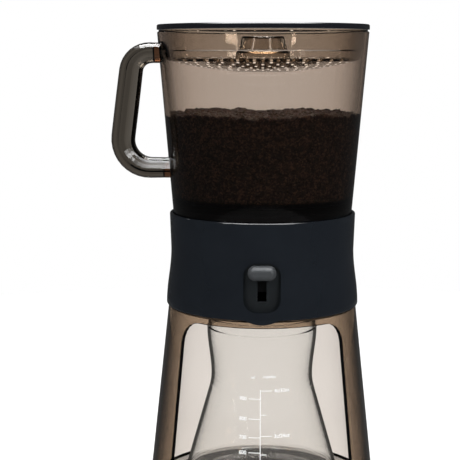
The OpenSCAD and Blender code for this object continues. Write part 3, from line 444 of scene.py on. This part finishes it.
rubber = (0.6, 0.75)     # roughness of soft pieces
# the handle's painted highlight and shade, from face on to edge on
handlePaintedBands = ((0.0, 0.62), (0.07, 0.62), (0.15, 1.0), (0.36, 1.0), (0.50, 0.30), (1.0, 0.12))
finishes = {
    "stand_shell": clearFinish("standSmoke", (0.85, 0.82, 0.79), sides=(0.825, 0.79, 0.76),
                               front=(0.67, 0.55, 0.43)),
    # the skirt's inner faces are painted near-black as shade
    "container": clearFinish("containerSmoke", (0.689, 0.618, 0.561), paintedShade=darkSkirt,
                             shadeColour=(0.004, 0.004, 0.005), gloss=0.0),
    "handle": clearFinish("handleSmoke", (0.72, 0.705, 0.685), paintedBands=handlePaintedBands),
    "rainmaker": clearFinish("distributorSmoke", (0.74, 0.69, 0.63), edgeShade=0.6, paintedShade=darkRim,
                             bright=brightHoles),
    "carafe": clearFinish("carafeGlass", (0.985, 0.992, 0.988), rough=(0.0, 0.01), ior=1.28, edgeShade=0.35,
                          turned=(0.9, 1.0)),
    "base_pad": clearFinish("padSilicone", (0.95, 0.94, 0.92), ior=1.0, edgeShade=0.4),  # fills the shell's recess
    "collar": mouldedFinish("collarGloss", (0.0100, 0.0125, 0.0165), (0.0120, 0.0150, 0.0195),
                            rough=(0.07, 0.12), depth=0.0, specular=0.45),
    "switch_panel": mouldedFinish("panelGloss", (0.0130, 0.0155, 0.0175), (0.0145, 0.0170, 0.0190),
                                  rough=(0.14, 0.22)),
    "switch_button": mouldedFinish("buttonSoft", (0.042, 0.046, 0.050), (0.052, 0.056, 0.060),
                                   rough=(0.5, 0.62), grain=0.0004),
    # black, and darkened further below the other black parts as painted shade inside the slot
    "switch_slider": mouldedFinish("sliderSatin", (0.003, 0.003, 0.0035), (0.004, 0.004, 0.0045),
                                   specular=0.2),
    "deck": mouldedFinish("deckSatin", (0.012, 0.011, 0.011), (0.016, 0.015, 0.015)),
    "bottom_cover": mouldedFinish("coverSatin", (0.012, 0.012, 0.013), (0.017, 0.017, 0.018)),
    "drip_funnel": mouldedFinish("funnelSatin", (0.014, 0.014, 0.015), (0.020, 0.020, 0.021)),
    "filter_ring": mouldedFinish("ringSatin", (0.014, 0.014, 0.015), (0.020, 0.020, 0.021)),
    "rocker_lever": mouldedFinish("leverPale", (0.52, 0.52, 0.50), (0.60, 0.60, 0.57)),
    "pusher_pin": mouldedFinish("pusherPale", (0.56, 0.56, 0.54), (0.64, 0.64, 0.61)),
    "stem_guide": mouldedFinish("guidePale", (0.56, 0.56, 0.54), (0.64, 0.64, 0.61)),
    "seat_ring": mouldedFinish("seatRubber", (0.020, 0.020, 0.020), (0.030, 0.030, 0.030), rough=rubber),
    "filter_seal": mouldedFinish("sealRubber", (0.09, 0.09, 0.09), (0.13, 0.13, 0.13), rough=rubber),
    "valve_plug": mouldedFinish("plugRubber", (0.05, 0.05, 0.05), (0.07, 0.07, 0.07), rough=rubber),
    "pivot_pin": steelFinish("pinSteel", stretch=(0.05, 1, 1)),
    "valve_stem": steelFinish("stemSteel"),
    "valve_spring": steelFinish("springSteel", streak=0.0003),
    "stem_clip": steelFinish("clipSteel", stretch=(1, 1, 1)),
    "cover_screws": steelFinish("screwSteel", stretch=(1, 1, 1)),
    "filter_mesh": wovenFinish("wovenSteel"),
}
for name, finish in finishes.items():
    mesh = nodes[name].data
    mesh.materials.clear()
    mesh.materials.append(finish)
print("finishes set:", len(finishes))


def newPiece(name, points, faces, material, body, smooth=True):
    mesh = bpy.data.meshes.new(name)
    mesh.from_pydata(points.tolist(), [], faces)
    mesh.materials.append(material)
    mesh.polygons.foreach_set("use_smooth", np.full(len(mesh.polygons), smooth))
    mesh.update()
    piece = bpy.data.objects.new(name, mesh)
    scene.collection.objects.link(piece)
    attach(piece, body)
    return piece


# Triangles of a closed tube or turned surface: rings of n points, then one point for each end
def turnedFaces(rings, n):
    i, j = np.meshgrid(np.arange(rings - 1), np.arange(n), indexing="ij")
    a, b = (i * n + j).ravel(), (i * n + (j + 1) % n).ravel()
    k, after = np.arange(n), (np.arange(n) + 1) % n
    first, last = np.full(n, rings * n), np.full(n, rings * n + 1)
    base = (rings - 1) * n
    faces = [np.stack([a, a + n, b + n], -1), np.stack([a, b + n, b], -1),
             np.stack([k, after, first], -1), np.stack([base + after, base + k, last], -1)]
    return np.concatenate(faces).tolist()


# Smooth random field: values drawn on a square lattice, blended with 3t^2 - 2t^3 between neighbours
def latticeNoise(x, y, size, seed, cells=256):
    values = np.random.default_rng(seed).random((cells, cells)) * 2 - 1
    u, v = x / size + cells / 4, y / size + cells / 4
    i, j = np.floor(u).astype(int), np.floor(v).astype(int)
    s, t = u - i, v - j
    s, t = s * s * (3 - 2 * s), t * t * (3 - 2 * t)
    pick = lambda a, b: values[(i + a) % cells, (j + b) % cells]
    low = pick(0, 0) * (1 - s) + pick(1, 0) * s
    high = pick(0, 1) * (1 - s) + pick(1, 1) * s
    return low * (1 - t) + high * t


coffeeBed = dict(
    top=0.3168,              # mean height of the bed's surface
    edge=0.2507,             # height where the vessel's floor meets its wall
    outlet=0.2430,           # height of the bed's underside over the filter
    foot=0.2145,             # height of the vessel's foot
    footRadius=0.0686,       # the vessel's inner radius there
    taper=paintedParts["taper"],
    filterRadius=0.040,      # the floor slopes down to this radius
    drainRadius=0.004,       # last ring of the underside
    overlap=0.0001,          # the side stands this far in the wall, as wet grounds lie on it without air
    bumps=(                  # size, height and seed of the surface's swells, small clods and single grains
        (0.030, 0.0016, 3),
        (0.007, 0.0016, 5),
        (0.0022, 0.0011, 7),
    ),
    around=420,
    across=130,              # rings of the surface, of the wall and of the underside
    wallRings=24,
    floorRings=12,
    grainScale=900.0,        # grains per metre
    clumpScale=260.0,
    toneShare=0.45,          # how much a grain's own tone shifts it along the tones
    tones=((0.40, (0.0040, 0.0028, 0.0024)), (0.72, (0.0145, 0.0092, 0.0072)), (1.0, (0.050, 0.029, 0.0195))),
    # upper faces are darkened, as painted shade against the light from above
    topShade=(0.80, 0.68, 0.60),  # colour of upper faces, times the tones
    topShadeSlope=(0.3, 0.7),
)


def coffeeFinish():
    c = coffeeBed
    tree = newMaterial("groundCoffee")
    place = tree.add("TexCoord").outputs["Object"]
    grains = tree.add("TexVoronoi", Vector=place, Scale=c["grainScale"], Randomness=1.0).outputs
    clumps = tree.add("TexNoise", Vector=place, Scale=c["clumpScale"], Detail=4.0,
                      Roughness=0.65).outputs["Fac"]
    tone = tree.add("SeparateColor", Color=grains["Color"]).outputs[0]
    wet = rampColour(tree, tree.calc("MULTIPLY_ADD", tone, c["toneShare"], clumps), c["tones"])
    # painted shade on faces that look upwards
    topShade = tree.mix(1.0, wet, rgba(c["topShade"]), blend="MULTIPLY")
    low, high = c["topShadeSlope"]
    upper = tree.add("MapRange", Value=slopeOf(tree), From_Min=low, From_Max=high).outputs[0]
    height = tree.calc("MULTIPLY_ADD", grains["Distance"], -0.6, clumps)
    bump = tree.add("Bump", Height=height, Strength=0.9, Distance=0.0008)
    body = tree.add("BsdfPrincipled", Base_Color=tree.mix(upper, wet, topShade), Specular_IOR_Level=0.2,
                    Roughness=ranged(tree, noiseOf(tree, 0.002), 0.62, 0.9), Normal=bump.outputs["Normal"])
    return tree.shade(body.outputs[0])


# Ground coffee: a profile turned about the axis. It runs from the middle of the surface to the wall, down the
# conical wall and in along the floor; the surface is raised by three sizes of lattice noise.
def makeCoffee():
    c = coffeeBed
    innerRadius = lambda z: c["footRadius"] + (z - c["foot"]) * c["taper"] + c["overlap"]
    angle = np.linspace(0, 2 * np.pi, c["around"], endpoint=False)
    share = np.linspace(0.01, 1, c["across"])
    radius, turn = np.meshgrid(share * innerRadius(c["top"]), angle, indexing="ij")
    x, y = radius * np.cos(turn), radius * np.sin(turn)
    z = c["top"] + sum(latticeNoise(x, y, size, seed) * height for size, height, seed in c["bumps"])
    limit = innerRadius(z[-1])           # the surface's last ring lies on the wall
    x[-1], y[-1] = limit * np.cos(angle), limit * np.sin(angle)
    down = np.linspace(0, 1, c["wallRings"])[1:, None]
    wallZ = z[-1] + (c["edge"] - z[-1]) * down
    wallR = innerRadius(wallZ)
    edgeR = innerRadius(c["edge"])
    inward = np.linspace(0, 1, c["floorRings"])[1:, None]
    floorR = edgeR + (c["drainRadius"] - edgeR) * inward + np.zeros((1, c["around"]))
    slope = np.clip((edgeR - floorR) / (edgeR - c["filterRadius"]), 0, 1)
    floorZ = c["edge"] + (c["outlet"] - c["edge"]) * slope
    grid = np.concatenate([np.stack([x, y, z], -1),
                           np.stack([wallR * np.cos(angle), wallR * np.sin(angle), wallZ], -1),
                           np.stack([floorR * np.cos(angle), floorR * np.sin(angle), floorZ], -1)])
    ends = np.array([[0, 0, z[0].mean()], [0, 0, c["outlet"]]])
    points = np.concatenate([grid.reshape(-1, 3), ends])
    faces = turnedFaces(len(grid), c["around"])
    newPiece("coffeeGrounds", points, faces, coffeeFinish(), "brew_container")


makeCoffee()
print("coffee ready")

valveSpring = dict(
    turns=4.5,
    perTurn=28,           # rings of the wire's surface in one turn
    wireRadius=0.0003,
    sides=10,
    travel=0.0040,        # how far the valve's clip climbs towards the guide
)


# Coil spring: a circle of the wire's radius carried round a helix that climbs evenly from the clip to the
# guide.
def makeSpring():
    c = valveSpring
    low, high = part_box("valve_spring")
    wire = c["wireRadius"]
    coil = (high[0] - low[0]) / 2 - wire
    rings = int(c["turns"] * c["perTurn"]) + 1
    turn, around = np.meshgrid(np.linspace(0, 2 * np.pi * c["turns"], rings),
                               np.linspace(0, 2 * np.pi, c["sides"], endpoint=False), indexing="ij")
    climb = low[2] + wire + (high[2] - low[2] - 2 * wire) * turn / turn.max()
    radius = coil + wire * np.cos(around)
    grid = np.stack([radius * np.cos(turn), radius * np.sin(turn), climb + wire * np.sin(around)], -1)
    points = np.concatenate([grid.reshape(-1, 3), grid[[0, -1]].mean(1)])
    piece = newPiece("coiledSpring", points, turnedFaces(rings, c["sides"]), finishes["valve_spring"],
                     "brew_container")
    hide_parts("valve_spring")
    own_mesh(piece)


makeSpring()
print("spring ready")

scaleMarks = dict(
    lift=0.00012,            # the print stands this far off the glass
    leastRadius=0.040,       # the glass is wider than this at every height with print
    lineX=-0.0010,           # the upright line, seen from the front
    lineWidth=0.0006,
    lineSteps=60,
    top=0.0960,
    bottom=0.0185,
    tickWidth=0.0005,
    tickSteps=10,
    longTick=0.0095,
    shortTick=0.0050,
    textGap=0.0018,          # between a tick and its words
    textHeight=0.0042,
    textWeight=0.02,         # strokes are thickened by this share of the height
    left=(                   # words and height of each tick
        ("900", 0.0885), ("800", 0.0730), ("700", 0.0588), ("600", 0.0472), ("500", 0.0375), ("400", 0.0285),
    ),
    right=(("4c/32oz", 0.0950), (None, 0.0762), ("3c/24oz", 0.0600), (None, 0.0458), ("2c/16oz", 0.0350)),
    units=(("ml", -0.0072), ("cups/oz", 0.0058)),   # words and place of their middle
    unitsSize=0.0034,
    unitsHeight=0.1050,
    colours=((0.80, 0.80, 0.80), (0.90, 0.90, 0.90)),
    # the print's own glow, though it is no lamp: painted light
    glow=0.28,
)


# Outer radius of the carafe's glass at each height: the widest of its mesh points, joined by straight lines
def carafeProfile():
    mesh = nodes["carafe"].data
    co = np.zeros(len(mesh.vertices) * 3)
    mesh.vertices.foreach_get("co", co)
    co = co.reshape(-1, 3)
    level = np.round(co[:, 2], 5)
    radius = np.hypot(co[:, 0], co[:, 1])
    heights = np.unique(level)
    widest = np.array([radius[level == h].max() for h in heights])
    keep = widest > scaleMarks["leastRadius"]
    return heights[keep], widest[keep]


# Flat points (width, height) laid on the glass: width becomes arc length about the axis, height stays, and
# the radius is the glass's own plus the print's lift.
def wrapOnCarafe(co, heights, radii):
    x, z = co[:, 0], co[:, 1]
    r = np.interp(z, heights, radii) + scaleMarks["lift"]
    angle = x / r
    return np.stack([r * np.sin(angle), -r * np.cos(angle), z], -1)


# Flat strip from corner to corner, with steps points along its longer sides
def stripMesh(x0, x1, z0, z1, steps):
    along = np.linspace(0, 1, steps)
    if abs(x1 - x0) > abs(z1 - z0):
        xs = x0 + (x1 - x0) * along
        sides = np.stack([xs, np.full(steps, z0)], -1), np.stack([xs, np.full(steps, z1)], -1)
    else:
        zs = z0 + (z1 - z0) * along
        sides = np.stack([np.full(steps, x1), zs], -1), np.stack([np.full(steps, x0), zs], -1)
    k = np.arange(steps - 1)
    return np.concatenate(sides), np.stack([k, k + 1, k + 1 + steps, k + steps], -1).tolist()


def textMesh(words, height):
    curve = bpy.data.curves.new("words", "FONT")
    curve.body = words
    curve.size = height
    curve.resolution_u = 3
    curve.offset = scaleMarks["textWeight"] * height
    thing = bpy.data.objects.new("words", curve)
    scene.collection.objects.link(thing)
    bpy.context.view_layer.update()
    mesh = bpy.data.meshes.new_from_object(thing)
    bpy.data.objects.remove(thing)
    co = np.zeros(len(mesh.vertices) * 3)
    mesh.vertices.foreach_get("co", co)
    faces = [tuple(p.vertices) for p in mesh.polygons]
    bpy.data.meshes.remove(mesh)
    return co.reshape(-1, 3)[:, :2], faces


# The measuring scale as flat parts: an upright line, ticks to both sides with their words, the units above
def scaleParts():
    s = scaleMarks
    x, half, tick = s["lineX"], s["lineWidth"] / 2, s["tickWidth"] / 2
    parts = [stripMesh(x - half, x + half, s["bottom"], s["top"], s["lineSteps"])]
    for side, marks in ((-1, s["left"]), (1, s["right"])):
        for label, z in marks:
            reach = side * (s["longTick"] if label else s["shortTick"])
            parts.append(stripMesh(min(x, x + reach), max(x, x + reach), z - tick, z + tick, s["tickSteps"]))
            if label:
                co, faces = textMesh(label, s["textHeight"])
                near = co[:, 0].max() if side < 0 else co[:, 0].min()
                co[:, 0] += x + reach + side * s["textGap"] - near
                co[:, 1] += z - (co[:, 1].max() + co[:, 1].min()) / 2
                parts.append((co, faces))
    for words, middle in s["units"]:
        co, faces = textMesh(words, s["unitsSize"])
        co[:, 0] += middle - co[:, 0].mean()
        co[:, 1] += s["unitsHeight"] - co[:, 1].min()
        parts.append((co, faces))
    return parts


# White print, worn at random, with a painted glow of its own
def printFinish():
    tree = newMaterial("whitePrint")
    worn = ranged(tree, noiseOf(tree, 0.0015), 0.0, 1.0)
    first, second = scaleMarks["colours"]
    body = tree.add("BsdfPrincipled", Base_Color=tree.mix(worn, rgba(first), rgba(second)),
                    Roughness=ranged(tree, noiseOf(tree, 0.0008), 0.35, 0.55), Specular_IOR_Level=0.4,
                    Emission_Color=white, Emission_Strength=scaleMarks["glow"])
    return tree.shade(body.outputs[0])


def makeScale():
    heights, radii = carafeProfile()
    points, polygons, count = [], [], 0
    for co, faces in scaleParts():
        points.append(wrapOnCarafe(co, heights, radii))
        polygons += [[i + count for i in face] for face in faces]
        count += len(co)
    newPiece("carafeScale", np.concatenate(points), polygons, printFinish(), "carafe", smooth=False)


makeScale()
print("scale ready")

scene.view_settings.view_transform = "Standard"
